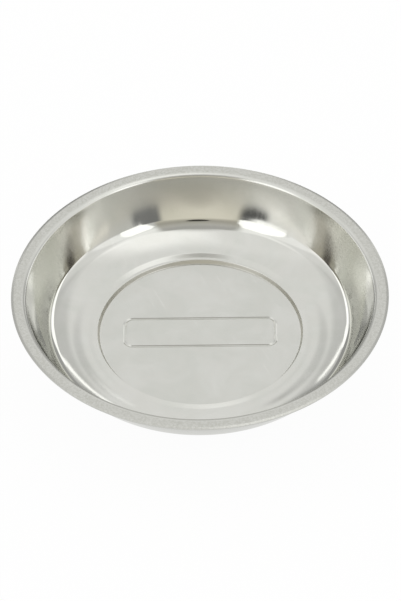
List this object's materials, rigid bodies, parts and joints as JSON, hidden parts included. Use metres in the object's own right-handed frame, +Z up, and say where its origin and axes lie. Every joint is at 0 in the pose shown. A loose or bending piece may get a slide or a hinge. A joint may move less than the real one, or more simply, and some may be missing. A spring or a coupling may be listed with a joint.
{
  "type": "magnetic parts tray",
  "caption": "Round pressed stainless dish with a flat lip and a sunk centre, on a ring magnet in a rubber boot, that holds small steel parts and grips a steel surface.",
  "frame": {"origin": "centre of the rubber foot's underside, on the dish's axis", "axes": "+Z up along the dish's axis; +X along the blank panel pressed into the sunk centre; -Y towards the camera of the picture"},
  "size_m": [0.15, 0.15, 0.0385],
  "materials": {
    "dish_steel": "satin",
    "boot_rubber": "matte",
    "ferrite": "matte",
    "zinc_plate": "satin",
    "gasket_rubber": "matte"
  },
  "bodies": {
    "root": {"dish": "dish_steel", "weld_stud": "zinc_plate", "gasket": "gasket_rubber", "ring_magnet": "ferrite", "clamp_cup": "zinc_plate", "flat_washer": "zinc_plate", "spring_washer": "zinc_plate", "hex_nut": "zinc_plate", "rubber_boot": "boot_rubber"}
  },
  "joints": []
}
